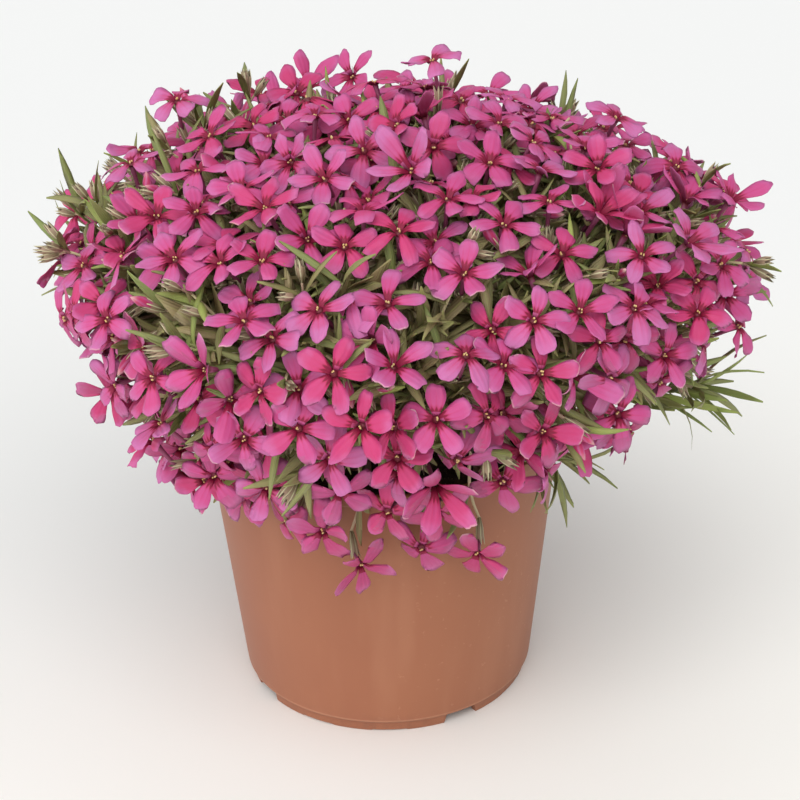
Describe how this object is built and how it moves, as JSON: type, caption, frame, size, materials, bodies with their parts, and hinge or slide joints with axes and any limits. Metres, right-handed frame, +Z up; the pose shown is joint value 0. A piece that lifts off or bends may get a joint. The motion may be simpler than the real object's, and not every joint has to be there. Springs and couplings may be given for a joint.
{
  "type": "phlox plant",
  "caption": "Creeping phlox in full bloom: a rounded cushion of five-petalled flowers and narrow leaves on many stems, growing from soil in a round nursery pot.",
  "frame": {"origin": "middle of the pot's base, on the surface it stands on", "axes": "+Z up along the pot's axis, -Y towards the front, +X to the right"},
  "size_m": [0.2613, 0.2433, 0.2349],
  "materials": {
    "pot": "satin moulded plastic",
    "soil": "loose crumb, matte",
    "petals": "soft, matte",
    "foliage": "matte leaf"
  },
  "bodies": {
    "root": {"pot": "pot", "soil": "soil", "shoot_01": "petals", "shoot_02": "petals", "shoot_03": "petals", "shoot_04": "petals", "shoot_05": "petals", "shoot_06": "petals", "shoot_07": "petals", "shoot_08": "petals", "shoot_09": "petals", "shoot_10": "petals", "shoot_11": "petals", "shoot_12": "petals", "shoot_13": "petals", "shoot_14": "petals", "shoot_15": "petals", "shoot_16": "petals", "shoot_17": "petals", "shoot_18": "petals", "shoot_19": "petals", "shoot_20": "petals", "shoot_21": "petals", "shoot_22": "petals", "shoot_23": "petals", "shoot_24": "petals", "shoot_25": "petals", "shoot_26": "petals", "shoot_27": "petals", "shoot_28": "petals", "shoot_29": "petals", "shoot_30": "petals", "shoot_31": "petals", "shoot_32": "petals", "shoot_33": "petals", "shoot_34": "petals", "shoot_35": "petals", "shoot_36": "petals", "shoot_37": "petals", "shoot_38": "petals", "shoot_39": "petals", "shoot_40": "petals", "shoot_41": "petals", "shoot_42": "petals", "shoot_43": "petals"}
  },
  "joints": []
}
